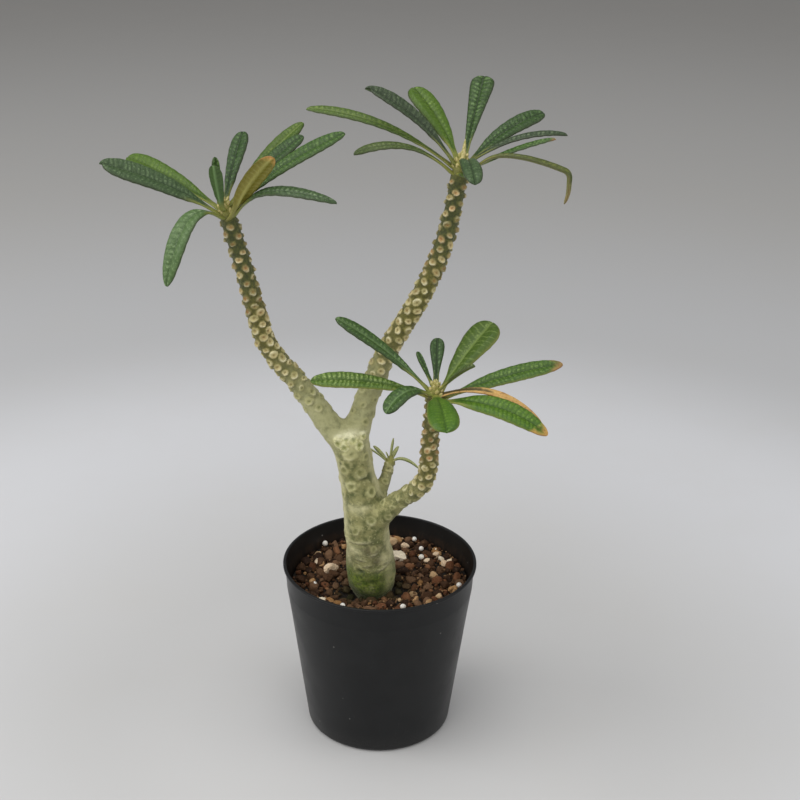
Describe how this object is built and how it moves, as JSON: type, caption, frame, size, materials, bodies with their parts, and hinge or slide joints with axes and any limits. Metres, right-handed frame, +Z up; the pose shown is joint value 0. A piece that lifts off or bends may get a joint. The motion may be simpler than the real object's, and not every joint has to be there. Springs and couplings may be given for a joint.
{
  "type": "potted dorstenia",
  "caption": "Potted succulent with a thick forked stem covered in leaf scars and rosettes of narrow quilted leaves, in a round black nursery pot.",
  "frame": {"origin": "middle of the flat underside of the pot", "axes": "+Z up along the pot's axis, +X to the right and -Y to the front of the view in the picture"},
  "size_m": [0.1961, 0.101, 0.3014],
  "materials": {
    "pot_plastic": "satin near-black moulded plastic with faint dust and scratches",
    "soil_grains": "dull red-brown fired clay grains with pale chips and white beads",
    "stem_bark": "matt olive to grey-green skin with cream leaf-scar rings",
    "young_shoot": "soft yellow-green new growth",
    "leaf_dark": "deep green quilted leaf with a low sheen",
    "leaf_young": "yellow-green quilted leaf with a low sheen",
    "leaf_old": "withering orange-brown leaf, dull"
  },
  "bodies": {
    "root": {"pot": "pot_plastic", "soil": "soil_grains", "stem": "stem_bark", "side_shoot": "young_shoot", "leaf_left_01": "leaf_dark", "leaf_left_02": "leaf_young", "leaf_left_03": "leaf_dark", "leaf_left_04": "leaf_dark", "leaf_left_05": "leaf_dark", "leaf_left_06": "leaf_dark", "leaf_left_07": "leaf_young", "leaf_left_08": "leaf_dark", "leaf_left_09": "leaf_dark", "leaf_left_10": "leaf_young", "leaf_left_11": "leaf_dark", "leaf_right_01": "leaf_young", "leaf_right_02": "leaf_dark", "leaf_right_03": "leaf_dark", "leaf_right_04": "leaf_young", "leaf_right_05": "leaf_dark", "leaf_right_06": "leaf_dark", "leaf_right_07": "leaf_dark", "leaf_right_08": "leaf_young", "leaf_right_09": "leaf_old", "leaf_right_10": "leaf_dark", "leaf_right_11": "leaf_young", "leaf_low_01": "leaf_dark", "leaf_low_02": "leaf_young", "leaf_low_03": "leaf_dark", "leaf_low_04": "leaf_dark", "leaf_low_05": "leaf_dark", "leaf_low_06": "leaf_young", "leaf_low_07": "leaf_young", "leaf_low_08": "leaf_dark", "leaf_low_09": "leaf_old", "leaf_low_10": "leaf_dark", "leaf_low_11": "leaf_dark"}
  },
  "joints": []
}
